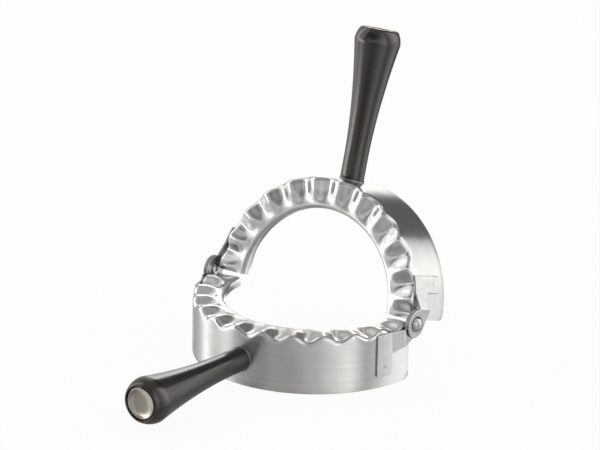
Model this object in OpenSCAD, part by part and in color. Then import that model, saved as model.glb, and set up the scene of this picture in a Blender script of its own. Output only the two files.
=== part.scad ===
// Hinged empanada press: two like half rings with fluted crimp rims, riveted ears and long handles.
// Frame: the origin lies at table level, at the centre of the lower half ring's circle.
// +X runs along the hinge to the right, the lower handle points to -Y, and +Z is up.
// Angles on a ring are counted from its right hinge end, so its handle stands at 90 degrees.

/* [Half rings] */
// Outside diameter of the round cutter that the two half rings make
ring_d = 120; // [100:1:150]
// Thickness of the pressed sheet
sheet_t = 0.9; // [0.7:0.1:1.2]
// Height of the crimp rim's mean line above the cutting edge
rim_height = 28.6; // [26:0.2:40]
// Gap between the half rings along the hinge line when they lie flat
split_gap = 2; // [1:0.2:4]
// Corner radius at each end of the cutting edge
end_corner_r = 2.8; // [1:0.2:5]

/* [Crimp rim] */
// Width of the rim from the outer wall to the inner lip
rim_w = 16; // [13:0.5:22]
// Number of flutes round one half
flutes = 12; // [8:1:16]
// Height of a flute from trough to peak
flute_h = 3; // [1.6:0.1:3.6]
// Gap between the two rims when the press is shut
rim_gap = 0.8; // [0.8:0.1:2]
// Outside radius of the shoulder between the wall and the rim
shoulder_r = 2.2; // [1.6:0.1:3]
// Outside radius of the turned-down inner lip
lip_r = 2; // [1.5:0.1:3]
// Depth of the inner lip below the rim's mean line
lip_depth = 4.5; // [3.5:0.1:8]

/* [Hinge] */
// Angle that the upper half has been lifted from lying flat
open_angle = 73; // [0:1:150]
// Thickness of the bracket straps
strap_t = 1.1; // [0.8:0.1:1.5]
// Radius of the round ears
ear_r = 7; // [5.5:0.1:8.5]
// Gap between the half ring and the inboard ear
ear_standoff = 1.2; // [1.2:0.1:2]
// Gap between the two ears on one rivet
ear_gap = 0.3; // [0.3:0.05:0.6]
// Depth of the bracket's top edge below the hinge axis
strap_top = 1; // [0.6:0.1:2]
// Depth of the arm's lower edge below the hinge axis at the ear
arm_drop = 10; // [8.5:0.1:12]
// Depth of the arm's lower edge below the hinge axis at the leg
arm_root_drop = 12; // [9:0.1:14]
// Depth of the foot of the leg below the hinge axis
leg_drop = 22.8; // [18:0.1:24]
// Distance from the hinge line to the near edge of the leg
leg_reach = 14.3; // [12:0.1:18]
// Width of the leg along the wall
leg_w = 8.8; // [6:0.1:12]
// Depth of the spot weld mark below the hinge axis
weld_drop = 18; // [14:0.1:18]
// Diameter of the spot weld mark
weld_d = 1.6; // [1:0.1:2.4]
// Diameter of the rivet shank
rivet_d = 4; // [3:0.1:5]
// Diameter of the domed rivet head
rivet_head_d = 8.1; // [6.6:0.1:9]
// Height of the domed rivet head
rivet_head_h = 2.6; // [1.2:0.1:3]
// Diameter of the clinched rivet tail
rivet_tail_d = 5.8; // [5.4:0.1:7]
// Thickness of the clinched rivet tail
rivet_tail_h = 0.7; // [0.5:0.05:0.7]
// Radial clearance of the ear that turns on the rivet
rivet_fit = 0.05; // [0.02:0.01:0.1]

/* [Handles] */
// Distance from the wall to the handle's end face
grip_len = 77.5; // [68:0.5:110]
// Height of the handle's axis above the cutting edge, at the wall
grip_height = 13.5; // [12:0.1:14]
// Upward tilt of the handle
grip_tilt = 1; // [0:0.5:4]
// Diameter of the handle at its root
root_d = 12.3; // [11:0.1:14]
// Length of the straight stretch at the root
root_len = 12; // [6:1:20]
// Largest diameter of the handle
grip_d = 23.5; // [21:0.1:26]
// Diameter of the end face
face_d = 18.9; // [18:0.1:20]
// Length of the rounded crown beside the end face
crown_len = 7; // [4:0.5:9]
// Curve of the flare, where 1 is a straight cone
flare = 1.8; // [1.4:0.1:2.2]
// Diameter of the metal end cap
cap_d = 15.6; // [14:0.1:16]
// Thickness of the end cap at its lip
cap_t = 1.2; // [1:0.1:1.6]
// Depth of the dish in the end cap
cap_dish = 0.5; // [0.2:0.1:0.7]
// Width of the groove round the end cap
cap_groove = 0.8; // [0.4:0.1:0.9]
// Length of the end cap's push-in skirt
cap_skirt = 5; // [3:0.5:7]

/* [Handle fastening] */
// Diameter of the stud welded to the wall
stud_d = 4; // [3:0.5:5]
// Clearance of the stud in the handle's bore
stud_fit = 0.3; // [0.1:0.1:0.5]
// Diameter of the stud's welded foot
foot_d = 9; // [7:0.1:9.5]
// Thickness of the stud's foot and of the seat ring
seat_t = 0.6; // [0.4:0.1:1]
// Outside diameter of the seat ring under the handle
seat_d = 13; // [12.5:0.1:15]
// Diameter of the pocket that holds the nut
pocket_d = 12.4; // [11.8:0.1:13]
// Depth of the nut pocket from the end face
pocket_depth = 25; // [18:0.5:30]
// Diameter of the washer under the nut
washer_d = 11; // [9:0.1:11.6]
// Thickness of the washer
washer_t = 0.8; // [0.5:0.1:1.5]
// Width of the nut across its flats
nut_af = 7; // [6.5:0.1:8.5]
// Height of the nut
nut_h = 3.2; // [2.4:0.1:4]

/* [Hidden] */
$fn = 96;
ring_r = ring_d / 2;
end_y = split_gap / 2;
pivot_z = rim_height + rim_gap / 2;
flute_steps = 10;
corner_steps = 4;
lip_in_r = ring_r - rim_w;
// The flutes run out between these two radii
shoulder_land = 3;
fade_from = lip_in_r + lip_r;
fade_to = ring_r - shoulder_r - shoulder_land;
arm_bend = ear_r + ear_gap;
// The web's edge starts a little inside the ear's round, so the two cross cleanly
web_inset = 0.15;
inner_ear_x = ring_r + ear_standoff;
outer_ear_x = inner_ear_x + strap_t + ear_gap;
leg_from = asin(leg_reach / ring_r);
leg_to = leg_from + leg_w / ring_r * 180 / PI;
leg_chamfer = 1.2;
// The arm and the leg lap into each other, by a length and an angle, so that they cross cleanly
arm_lap = 0.8;
leg_lap = 0.6;
bend_steps = 3;
weld_mark_h = 0.12;
rivet_play = 0.1;
rivet_wall = 0.8;
rivet_hollow_d = rivet_d - 2 * rivet_wall;
rivet_hollow_h = 2;
crown_rise = (grip_d - face_d) / 2;
crown_r = (pow(crown_len, 2) + pow(crown_rise, 2)) / (2 * crown_rise);
belly_s = grip_len - crown_len;
pocket_s = grip_len - pocket_depth;
recess_r = cap_d / 2 + cap_groove;
cap_lip = 0.7;
cap_edge = 0.3;
cap_wall = 0.8;
stud_over = 1.5;
stud_end_s = pocket_s + washer_t + nut_h + stud_over;
over = 1;

// Height of the fluted rim above its mean line, at an angle round the ring
function flute_wave(angle) = flute_h / 2 * sin(2 * flutes * (angle - 90));

// Share of the flutes' height at a radius: none at the inner lip, all of it near the shoulder
function flute_share(r) =
    let (u = min(1, max(0, (r - fade_from) / (fade_to - fade_from))))
    u * u * (3 - 2 * u);

// A point of the rim's section: radius, height above the mean line, share of the flutes
function rim_point(r, z) = [r, z, flute_share(r)];

// Points of an arc of the rim's section, round a centre at radius r and height z
function rim_arc(r, z, arc_r, from, to, steps) = [
    for (i = [0 : steps])
        let (a = from + (to - from) * i / steps)
        [r + arc_r * cos(a), z + arc_r * sin(a), flute_share(r + arc_r * cos(a))]
];

// Section of one pressing: up the outside, over the rim to the inner lip, and back underneath.
// The first and last points are the cutting edge, which has its own height.
function pressing_section() = concat(
    [[ring_r, -rim_height, 0]],
    rim_arc(ring_r - shoulder_r, -shoulder_r, shoulder_r, 0, 90, 3),
    [for (i = [1 : 2]) rim_point(fade_to + (fade_from - fade_to) * i / 3, 0)],
    rim_arc(lip_in_r + lip_r, -lip_r, lip_r, 90, 180, 3),
    [rim_point(lip_in_r, -lip_depth), rim_point(lip_in_r + sheet_t, -lip_depth)],
    rim_arc(lip_in_r + lip_r, -lip_r, lip_r - sheet_t, 180, 90, 3),
    [for (i = [2 : -1 : 1]) rim_point(fade_to + (fade_from - fade_to) * i / 3, -sheet_t)],
    rim_arc(ring_r - shoulder_r, -shoulder_r, shoulder_r - sheet_t, 90, 0, 3),
    [[ring_r - sheet_t, -rim_height, 0]]
);

// Distances of the sweep's first sections from the split, close together round the end corner
function corner_stations() = [
    for (i = [0 : corner_steps - 1]) end_corner_r * (1 - cos(90 * i / corner_steps))
];

// Shares of the way round at which the sections stand, measured on the outer wall
function sweep_shares() =
    let (
        first = asin(end_y / ring_r),
        whole = 180 - 2 * first,
        fine = [for (d = corner_stations()) (asin((end_y + d) / ring_r) - first) / whole],
        start = (asin((end_y + end_corner_r) / ring_r) - first) / whole,
        steps = flutes * flute_steps
    )
    concat(
        fine,
        [for (i = [0 : steps]) start + (1 - 2 * start) * i / steps],
        [for (i = [len(fine) - 1 : -1 : 0]) 1 - fine[i]]
    );

// Both end sections lie in the flat plane of the split, so a section's angle depends on the radius
function sweep_angle(r, share) =
    let (first = asin(end_y / r))
    first + (180 - 2 * first) * share;

// Lift of the cutting edge where its corner is rounded off at the split
function corner_lift(r, angle) =
    let (d = min(end_corner_r, r * sin(angle) - end_y))
    end_corner_r - sqrt(max(0, pow(end_corner_r, 2) - pow(end_corner_r - d, 2)));

// One half ring: cutting wall, shoulder, fluted rim and inner lip in a single pressing
module pressing() {
    section = pressing_section();
    shares = sweep_shares();
    n = len(section);
    last = len(shares) - 1;
    points = [
        for (share = shares)
            for (j = [0 : n - 1])
                let (
                    p = section[j],
                    a = sweep_angle(p[0], share),
                    lift = j == 0 || j == n - 1 ? corner_lift(p[0], a) : 0
                )
                [p[0] * cos(a), -p[0] * sin(a), rim_height + p[1] + p[2] * flute_wave(a) + lift]
    ];
    sides = [
        for (i = [0 : last - 1])
            for (j = [0 : n - 1])
                let (k = (j + 1) % n)
                    each [
                        [i * n + j, (i + 1) * n + k, i * n + k],
                        [i * n + j, (i + 1) * n + j, (i + 1) * n + k]
                    ]
    ];
    near_end = [[for (j = [0 : n - 1]) j]];
    far_end = [[for (j = [n - 1 : -1 : 0]) last * n + j]];
    color("silver")
        polyhedron(points, concat(sides, near_end, far_end), convexity = 8);
}

// Extrudes a side view, drawn with Y across and Z up, along X from one place to another
module along_x(from, to) {
    translate([from, 0, 0])
        rotate([90, 0, 90])
            linear_extrude(to - from)
                children();
}

// Place on a circle of the plan view, at an angle from the right hinge end
function on_ring(r, angle) = [r * cos(angle), -r * sin(angle)];

// Upright strap of a bracket in plan: flat ear, slanting arm and curved leg
module strap_band(ear_x, height) {
    bend = [ear_x, -arm_bend];
    foot = on_ring(ring_r, leg_from);
    along = (foot - bend) / norm(foot - bend);
    out = [-along[1], along[0]];
    turn = atan2(out[1], out[0]);
    toe = foot + arm_lap * along;
    difference() {
        union() {
            linear_extrude(height)
                polygon(concat(
                    [toe, bend, [ear_x, ear_r], [ear_x + strap_t, ear_r]],
                    [
                        for (i = [0 : bend_steps])
                            let (a = turn * i / bend_steps)
                            bend + strap_t * [cos(a), sin(a)]
                    ],
                    [toe + strap_t * out]
                ));
            intersection() {
                cylinder(r = ring_r + strap_t, h = height);
                linear_extrude(height)
                    polygon([[0, 0], on_ring(2 * ring_r, leg_from - leg_lap), on_ring(2 * ring_r, leg_to)]);
            }
        }
        translate([0, 0, -over])
            cylinder(r = ring_r, h = height + 2 * over);
    }
}

// Side outline of a bracket as a thick slab: round ear, tangent web, arm and leg
module strap_side() {
    leg_near = -(ring_r + strap_t) * sin(leg_from);
    leg_far = -(ring_r + strap_t) * sin(leg_to) - over;
    corner = [-arm_bend, -arm_drop];
    touch = atan2(corner[1], corner[0]) + acos(ear_r / norm(corner));
    translate([0, 0, pivot_z])
        union() {
            along_x(0, ring_d)
                circle(ear_r);
            along_x(0, ring_d)
                polygon([
                    [0, -strap_top], (ear_r - web_inset) * [cos(touch), sin(touch)], corner,
                    [leg_near - over, -arm_root_drop], [leg_near - over, -strap_top]
                ]);
            along_x(0, ring_d)
                polygon([
                    [leg_near, -strap_top], [leg_near, -leg_drop + leg_chamfer],
                    [leg_near - leg_chamfer, -leg_drop], [leg_far, -leg_drop], [leg_far, -strap_top]
                ]);
        }
}

// Hinge bracket at the right end of a half, with its ear inboard or outboard
module bracket(ear_x, bore_r) {
    color("lightgray")
        difference() {
            intersection() {
                strap_band(ear_x, pivot_z + ear_r);
                strap_side();
            }
            translate([0, 0, pivot_z])
                rotate([0, 90, 0])
                    cylinder(r = bore_r, h = ring_d);
            translate([0, 0, pivot_z - weld_drop])
                rotate([0, 90, -(leg_from + leg_to) / 2])
                    translate([0, 0, ring_r + strap_t - weld_mark_h])
                        cylinder(d = weld_d, h = over);
        }
}

// Inboard bracket at the right, and outboard bracket at the left
module inboard_bracket(bore_r) {
    bracket(inner_ear_x, bore_r);
}
module outboard_bracket(bore_r) {
    mirror([1, 0, 0])
        bracket(outer_ear_x, bore_r);
}

// Domed rivet through two ears at the right, with play under its tail or under its head
module rivet(tail_play, head_play) {
    tail_x = inner_ear_x - tail_play;
    head_x = outer_ear_x + strap_t + head_play;
    dome_r = (pow(rivet_head_d / 2, 2) + pow(rivet_head_h, 2)) / (2 * rivet_head_h);
    color("gainsboro")
        translate([0, 0, pivot_z])
            rotate([0, 90, 0])
                difference() {
                    union() {
                        translate([0, 0, tail_x - rivet_tail_h])
                            cylinder(d = rivet_d, h = head_x - tail_x + rivet_tail_h);
                        translate([0, 0, tail_x - rivet_tail_h])
                            cylinder(d = rivet_tail_d, h = rivet_tail_h);
                        intersection() {
                            translate([0, 0, head_x + rivet_head_h - dome_r])
                                sphere(dome_r);
                            translate([0, 0, head_x])
                                cylinder(d = rivet_head_d, h = rivet_head_h + over);
                        }
                    }
                    translate([0, 0, tail_x - rivet_tail_h - over])
                        cylinder(d = rivet_hollow_d, h = rivet_hollow_h + over);
                }
}

// Puts a handle part on the handle's axis, with its own Z counted outwards from the wall
module on_grip_axis() {
    translate([0, -ring_r, grip_height])
        rotate([90 - grip_tilt, 0, 0])
            children();
}

// Upright cylinder round the ring's centre, used to shape what seats on the wall
module ring_body(r) {
    translate([0, 0, -over])
        cylinder(r = r, h = rim_height + 2 * over);
}

// Radius of the handle at a distance from the wall, up to its belly
function grip_radius(s) =
    root_d / 2 + (grip_d - root_d) / 2 * pow(max(0, (s - root_len) / (belly_s - root_len)), flare);

// Handle with a flared belly, a rounded crown, the stud's bore, the nut pocket and the cap's recess
module grip() {
    flare_steps = 18;
    crown_steps = 6;
    crown_angle = asin(crown_len / crown_r);
    outline = concat(
        [[0, -over], [root_d / 2, -over]],
        [for (i = [0 : flare_steps])
            let (s = root_len + (belly_s - root_len) * i / flare_steps)
            [grip_radius(s), s]],
        [for (i = [1 : crown_steps])
            let (a = crown_angle * i / crown_steps)
            [grip_d / 2 - crown_r + crown_r * cos(a), belly_s + crown_r * sin(a)]],
        [[0, grip_len]]
    );
    color([0.1, 0.1, 0.1])
        difference() {
            on_grip_axis()
                rotate_extrude()
                    polygon(outline);
            ring_body(ring_r + seat_t);
            on_grip_axis() {
                translate([0, 0, -over])
                    cylinder(d = stud_d + 2 * stud_fit, h = grip_len);
                translate([0, 0, pocket_s])
                    cylinder(d = pocket_d, h = pocket_depth);
                translate([0, 0, grip_len - cap_t])
                    cylinder(r = recess_r, h = cap_t + over);
            }
        }
}

// Stud with a thin foot that is welded to the wall
module stud() {
    color("darkgray")
        difference() {
            on_grip_axis() {
                translate([0, 0, -over])
                    cylinder(d = stud_d, h = stud_end_s + over);
                intersection() {
                    translate([0, 0, -over])
                        cylinder(d = foot_d, h = 2 * over + seat_t);
                    rotate([grip_tilt - 90, 0, 0])
                        translate([0, ring_r, -grip_height])
                            ring_body(ring_r + seat_t);
                }
            }
            ring_body(ring_r);
        }
}

// Thin seat ring between the wall and the handle's root
module seat_ring() {
    color("silver")
        difference() {
            intersection() {
                on_grip_axis()
                    translate([0, 0, -over])
                        cylinder(d = seat_d, h = 2 * over + seat_t);
                ring_body(ring_r + seat_t);
            }
            ring_body(ring_r);
            on_grip_axis()
                translate([0, 0, -2 * over])
                    cylinder(d = foot_d, h = 4 * over + seat_t);
        }
}

// Washer on the floor of the nut pocket
module washer() {
    color("darkgray")
        on_grip_axis()
            translate([0, 0, pocket_s])
                difference() {
                    cylinder(d = washer_d, h = washer_t);
                    translate([0, 0, -over])
                        cylinder(d = stud_d + 2 * stud_fit, h = washer_t + 2 * over);
                }
}

// Hexagon nut on the stud
module nut() {
    color("darkgray")
        on_grip_axis()
            translate([0, 0, pocket_s + washer_t])
                difference() {
                    cylinder(d = nut_af / cos(30), h = nut_h, $fn = 6);
                    translate([0, 0, -over])
                        cylinder(d = stud_d, h = nut_h + 2 * over);
                }
}

// Dished metal cap with a raised lip and a skirt that pushes into the nut pocket
module end_cap() {
    dish_steps = 6;
    dish_r = cap_d / 2 - cap_lip;
    outline = concat(
        [for (i = [0 : dish_steps])
            let (r = dish_r * i / dish_steps)
            [r, cap_t - cap_edge / 2 - cap_dish * (1 - pow(r / dish_r, 2))]],
        [
            [cap_d / 2 - cap_lip / 2, cap_t], [cap_d / 2 - cap_edge / 2, cap_t],
            [cap_d / 2, cap_t - cap_edge], [cap_d / 2, 0], [pocket_d / 2, 0],
            [pocket_d / 2, -cap_skirt], [pocket_d / 2 - cap_wall, -cap_skirt],
            [pocket_d / 2 - cap_wall, 0], [0, 0]
        ]
    );
    color("darkgray")
        on_grip_axis()
            translate([0, 0, grip_len - cap_t])
                rotate_extrude()
                    polygon(outline);
}

// Turns a half round to the far side of the hinge and lifts it by the opening angle
module as_upper() {
    translate([0, 0, pivot_z])
        rotate([open_angle, 0, 0])
            translate([0, 0, -pivot_z])
                rotate([0, 0, 180])
                    children();
}

module lower_pressing() { pressing(); }
module lower_right_bracket() { inboard_bracket(rivet_d / 2); }
module lower_left_bracket() { outboard_bracket(rivet_d / 2); }
module lower_stud() { stud(); }
module lower_seat_ring() { seat_ring(); }
module lower_grip() { grip(); }
module lower_washer() { washer(); }
module lower_nut() { nut(); }
module lower_end_cap() { end_cap(); }
module upper_pressing() { as_upper() pressing(); }
module upper_left_bracket() { as_upper() inboard_bracket(rivet_d / 2 + rivet_fit); }
module upper_right_bracket() { as_upper() outboard_bracket(rivet_d / 2 + rivet_fit); }
module upper_stud() { as_upper() stud(); }
module upper_seat_ring() { as_upper() seat_ring(); }
module upper_grip() { as_upper() grip(); }
module upper_washer() { as_upper() washer(); }
module upper_nut() { as_upper() nut(); }
module upper_end_cap() { as_upper() end_cap(); }
module right_rivet() { rivet(0, rivet_play); }
module left_rivet() { mirror([1, 0, 0]) rivet(rivet_play, 0); }

lower_pressing();
lower_right_bracket();
lower_left_bracket();
lower_stud();
lower_seat_ring();
lower_grip();
lower_washer();
lower_nut();
lower_end_cap();
upper_pressing();
upper_left_bracket();
upper_right_bracket();
upper_stud();
upper_seat_ring();
upper_grip();
upper_washer();
upper_nut();
upper_end_cap();
right_rivet();
left_rivet();
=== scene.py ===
"""An empanada press of two half rings on one hinge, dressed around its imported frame.

Both halves are the same piece. The lower one stands on its cutting edge, and the upper one is
turned half a turn and lifted about the hinge. Every shape is drawn once, in millimetres, in the
half's own place: the ring's centre at the origin, the handle towards -Y, the hinge along X.
"""

import logging
import math
from dataclasses import dataclass
from enum import Enum

import bmesh
import bpy
import numpy as np
from mathutils import Matrix, Vector


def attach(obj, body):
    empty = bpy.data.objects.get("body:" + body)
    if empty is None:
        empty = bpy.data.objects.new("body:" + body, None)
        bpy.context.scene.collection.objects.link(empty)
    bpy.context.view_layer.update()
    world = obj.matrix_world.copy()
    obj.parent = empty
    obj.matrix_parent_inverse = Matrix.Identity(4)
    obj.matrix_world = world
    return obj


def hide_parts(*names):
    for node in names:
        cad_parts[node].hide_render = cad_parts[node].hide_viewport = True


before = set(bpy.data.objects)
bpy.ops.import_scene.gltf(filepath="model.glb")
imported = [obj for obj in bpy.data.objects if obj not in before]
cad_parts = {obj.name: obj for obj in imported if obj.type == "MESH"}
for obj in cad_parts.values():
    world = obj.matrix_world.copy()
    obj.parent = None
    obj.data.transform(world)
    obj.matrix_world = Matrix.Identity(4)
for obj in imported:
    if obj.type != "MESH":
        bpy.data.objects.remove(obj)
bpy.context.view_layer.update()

LOG = logging.getLogger("press")
MM = 0.001

# The cutter's radius, the hinge axis's height and how near two points are one, in millimetres.
RING_R = 60.0
PIVOT_Z = 29.0
SAME_PLACE = 1e-6

Piece = bpy.types.Object
Material = bpy.types.Material
Tree = bpy.types.NodeTree
Node = bpy.types.Node
Socket = bpy.types.NodeSocket
Pair = tuple[float, float]
Triple = tuple[float, float, float]
Colour = tuple[float, float, float, float]


# ---------------------------------------------------------------- choices and places


class Part(Enum):
    """The two halves of the press, by the word that starts their nodes' names."""

    LOWER = "lower"
    UPPER = "upper"

    @property
    def body(self) -> str:
        """The name of the CAD body that this half is."""
        return f"{self.value}_half"


class Hand(Enum):
    """The two ends of the hinge, as the sign of X in the half's own place."""

    RIGHT = 1
    LEFT = -1


class EarPlace(Enum):
    """How far out an ear's inner face stands on the rivet, in millimetres from the centre."""

    INBOARD = 61.2
    OUTBOARD = 62.6


@dataclass(frozen=True)
class HalfPlace:
    """Where one half of the press stands at rest."""

    part: Part
    pivot_z: float = PIVOT_Z
    open_deg: float = 73.0

    def matrix(self) -> Matrix:
        """Gives the move from the half's own place to the row frame.

        Returns:
            Identity for the lower half; the half turn and the lift about the hinge for the upper.
        """
        if self.part is Part.LOWER:
            return Matrix.Identity(4)
        pivot = Matrix.Translation((0, 0, self.pivot_z * MM))
        lift = Matrix.Rotation(math.radians(self.open_deg), 4, "X")
        return pivot @ lift @ pivot.inverted() @ Matrix.Rotation(math.pi, 4, "Z")

    def set_down(self, piece: Piece, node: str) -> None:
        """Puts a piece of this half in place, gives it its body and hides the CAD node it stands
        for.

        Args:
            piece: The piece, drawn in the half's own place.
            node: The CAD node that the piece stands for.
        """
        piece.matrix_world = self.matrix()
        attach(piece, self.part.body)
        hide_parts(node)


# ---------------------------------------------------------------- making meshes


def smoothstep(low: float, high: float, value: np.ndarray) -> np.ndarray:
    """Eases from 0 at low to 1 at high.

    Args:
        low: Where the ease starts.
        high: Where it ends.
        value: The numbers to ease.

    Returns:
        Numbers from 0 to 1.
    """
    share = np.clip((value - low) / (high - low), 0, 1)
    return share * share * (3 - 2 * share)


def arc(centre: Pair, radius: float, start: float, end: float, steps: int) -> np.ndarray:
    """Gives points on an arc in a flat section.

    Args:
        centre: The arc's centre.
        radius: Its radius.
        start: Its first angle, in degrees.
        end: Its last angle, in degrees.
        steps: How many steps it has.

    Returns:
        steps + 1 rows of two coordinates.
    """
    angle = np.radians(np.linspace(start, end, steps + 1))
    return np.asarray(centre) + radius * np.column_stack([np.cos(angle), np.sin(angle)])


def line(start: Pair, end: Pair, steps: int) -> np.ndarray:
    """Gives evenly spaced points on a straight line in a flat section.

    Args:
        start: The first point.
        end: The last point.
        steps: How many steps it has.

    Returns:
        steps + 1 rows of two coordinates.
    """
    share = np.linspace(0, 1, steps + 1)[:, None]
    return np.asarray(start) * (1 - share) + np.asarray(end) * share


def without_repeats(points: np.ndarray) -> np.ndarray:
    """Drops each point of a chain that repeats the one before it."""
    far = np.linalg.norm(np.diff(points[:, :2], axis=0), axis=1) > SAME_PLACE
    return points[np.concatenate([[True], far])]


def moved(points: np.ndarray, axis: Matrix) -> np.ndarray:
    """Moves points from an axis's own frame to the frame that it stands in."""
    return points @ np.array(axis.to_3x3()).T + np.array(axis.translation)


def dress(piece: Piece, material: Material) -> None:
    """Gives a piece one material and nothing else."""
    piece.data.materials.clear()
    piece.data.materials.append(material)


def grid_faces(rows: int, columns: int) -> list[tuple[int, ...]]:
    """Lists the quads of a grid of points, each of whose rows closes on itself.

    Args:
        rows: How many rows of points there are.
        columns: How many points a row has.

    Returns:
        One tuple of four indices per quad.
    """
    return [
        (
            row * columns + column,
            row * columns + (column + 1) % columns,
            (row + 1) * columns + (column + 1) % columns,
            (row + 1) * columns + column,
        )
        for row in range(rows - 1)
        for column in range(columns)
    ]


def placed(name: str, data: object) -> Piece:
    """Puts a mesh or a camera in the scene.

    Args:
        name: The object's name.
        data: Its mesh or camera data.

    Returns:
        The new object.
    """
    made = bpy.data.objects.new(name, data)
    bpy.context.scene.collection.objects.link(made)
    return made


def make_piece(
    name: str,
    points: np.ndarray,
    faces: list[tuple[int, ...]],
    sharp_deg: float = 38.0,
    join: float = 0.002,
) -> Piece:
    """Makes a smooth-shaded mesh object whose faces all look outwards.

    Args:
        name: The piece's name.
        points: Its points, in millimetres.
        faces: Its faces, as indices of points.
        sharp_deg: The angle above which an edge stays sharp.
        join: How near two points are joined, in millimetres.

    Returns:
        The new object, in the scene.
    """
    mesh = bpy.data.meshes.new(name)
    mesh.from_pydata((points * MM).tolist(), [], faces)
    work = bmesh.new()
    work.from_mesh(mesh)
    bmesh.ops.remove_doubles(work, verts=work.verts, dist=join * MM)
    bmesh.ops.recalc_face_normals(work, faces=work.faces)
    work.to_mesh(mesh)
    work.free()
    mesh.shade_smooth()
    mesh.set_sharp_from_angle(angle=math.radians(sharp_deg))
    return placed(name, mesh)


def turned(name: str, profile: np.ndarray, axis: Matrix, segments: int) -> Piece:
    """Turns a profile, which starts and ends on the axis, as on a lathe.

    Args:
        name: The piece's name.
        profile: Rows of radius and distance along the axis, in millimetres.
        axis: Takes X and Y as the two cross directions and Z as the way along the axis.
        segments: How many steps go round.

    Returns:
        The new object.
    """
    angle = np.linspace(0, 2 * math.pi, segments, endpoint=False)
    radius, along = profile[:, :1], np.repeat(profile[:, 1:2], segments, axis=1)
    rings = np.stack([radius * np.cos(angle), radius * np.sin(angle), along], axis=2)
    faces = grid_faces(len(profile), segments)
    return make_piece(name, moved(rings.reshape(-1, 3), axis), faces)


# ---------------------------------------------------------------- node trees


class Graph:
    """Makes and joins the nodes of one material, world or group."""

    def __init__(self, tree: Tree) -> None:
        """Takes the tree that the nodes go into."""
        self.tree = tree

    def node(self, kind: str, **settings: object) -> Node:
        """Adds a node.

        Args:
            kind: The node's type, without its ShaderNode start.
            **settings: Attributes of the node.

        Returns:
            The new node.
        """
        made = self.tree.nodes.new(kind if kind.startswith("Node") else f"ShaderNode{kind}")
        for key, value in settings.items():
            setattr(made, key, value)
        return made

    def feed(self, socket: Socket, value: object) -> None:
        """Joins a socket to another one, or sets it to a plain value.

        Args:
            socket: The socket that is fed.
            value: The other socket, or the value.
        """
        if isinstance(value, Socket):
            self.tree.links.new(value, socket)
        else:
            socket.default_value = value

    def feed_named(self, node: Node, **values: object) -> None:
        """Feeds a node's inputs by name.

        Args:
            node: The node.
            **values: What each input is fed, with _ for a space in the input's name.
        """
        for name, value in values.items():
            self.feed(node.inputs[name.replace("_", " ")], value)

    def feed_first(self, node: Node, *values: object) -> Node:
        """Feeds a node's first inputs in order.

        Args:
            node: The node.
            *values: What each input is fed.

        Returns:
            The node.
        """
        for socket, value in zip(node.inputs, values):
            self.feed(socket, value)
        return node

    def math(self, operation: str, *values: object) -> Socket:
        """Adds a math node, and returns its result."""
        return self.feed_first(self.node("Math", operation=operation), *values).outputs[0]

    def vector(self, operation: str, *values: object) -> Socket:
        """Adds a vector math node, and returns its vector, or its value where it has only that."""
        made = self.feed_first(self.node("VectorMath", operation=operation), *values)
        return made.outputs["Value" if operation in ("DOT_PRODUCT", "LENGTH") else "Vector"]

    def ease(
        self,
        value: Socket,
        low: object,
        high: object,
        first: object = 0.0,
        last: object = 1.0,
    ) -> Socket:
        """Eases a value from one range to another.

        Args:
            value: The value to ease.
            low: Where the ease starts.
            high: Where it ends.
            first: What it gives below low.
            last: What it gives above high.

        Returns:
            The eased value.
        """
        made = self.node("MapRange", interpolation_type="SMOOTHSTEP")
        self.feed_named(made, Value=value, From_Min=low, From_Max=high, To_Min=first, To_Max=last)
        return made.outputs[0]

    def split(self, vector: Socket) -> list[Socket]:
        """Splits a vector into its three numbers."""
        return list(self.feed_first(self.node("SeparateXYZ"), vector).outputs)

    def gather(self, x: object, y: object, z: object) -> Socket:
        """Gathers three numbers into a vector."""
        return self.feed_first(self.node("CombineXYZ"), x, y, z).outputs[0]

    def scaled(self, value: Socket, shares: Triple) -> Socket:
        """Gives a vector, or a colour, that is one value times three shares."""
        return self.vector("MULTIPLY", self.gather(value, value, value), shares)

    def place_mm(self) -> Socket:
        """Gives the place in the piece's own frame, in millimetres."""
        return self.vector("MULTIPLY", self.node("TexCoord").outputs["Object"], (1 / MM,) * 3)

    def noise(self, place: Socket, scale: object, detail: float, roughness: float) -> Socket:
        """Adds a noise texture.

        Args:
            place: Where the noise is taken.
            scale: How fine it is.
            detail: How many finer layers it has.
            roughness: How strong those layers are.

        Returns:
            Its value, from 0 to 1.
        """
        made = self.node("TexNoise", noise_dimensions="3D")
        self.feed_named(made, Vector=place, Scale=scale, Detail=detail, Roughness=roughness)
        return made.outputs[0]

    def blend(self, share: object, first: object, second: object) -> Socket:
        """Mixes two colours.

        Args:
            share: How much of the second colour there is.
            first: The first colour.
            second: The second colour.

        Returns:
            The mixed colour.
        """
        made = self.node("Mix", data_type="RGBA")
        ports = {port.identifier: port for port in (*made.inputs, *made.outputs)}
        for key, value in (("Factor_Float", share), ("A_Color", first), ("B_Color", second)):
            self.feed(ports[key], value)
        return ports["Result_Color"]

    def mix_shaders(self, share: object, first: Socket, second: Socket) -> Socket:
        """Mixes two shaders, by the share of the second one."""
        return self.feed_first(self.node("MixShader"), share, first, second).outputs[0]

    def bump(self, height: Socket, strength: float, depth: float) -> Socket:
        """Adds a bump.

        Args:
            height: The height, from 0 to 1.
            strength: How much of the bump shows.
            depth: How deep it is, in millimetres.

        Returns:
            The bumped normal.
        """
        made = self.node("Bump")
        self.feed_named(made, Strength=strength, Distance=depth * MM, Height=height)
        return made.outputs["Normal"]

    def group(self, tree: Tree, **inputs: object) -> dict[str, Socket]:
        """Places a node group.

        Args:
            tree: The group.
            **inputs: What each of its inputs is fed, with _ for a space in the input's name.

        Returns:
            Its outputs by name.
        """
        made = self.node("Group")
        made.node_tree = tree
        self.feed_named(made, **inputs)
        return {socket.name: socket for socket in made.outputs}


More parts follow.
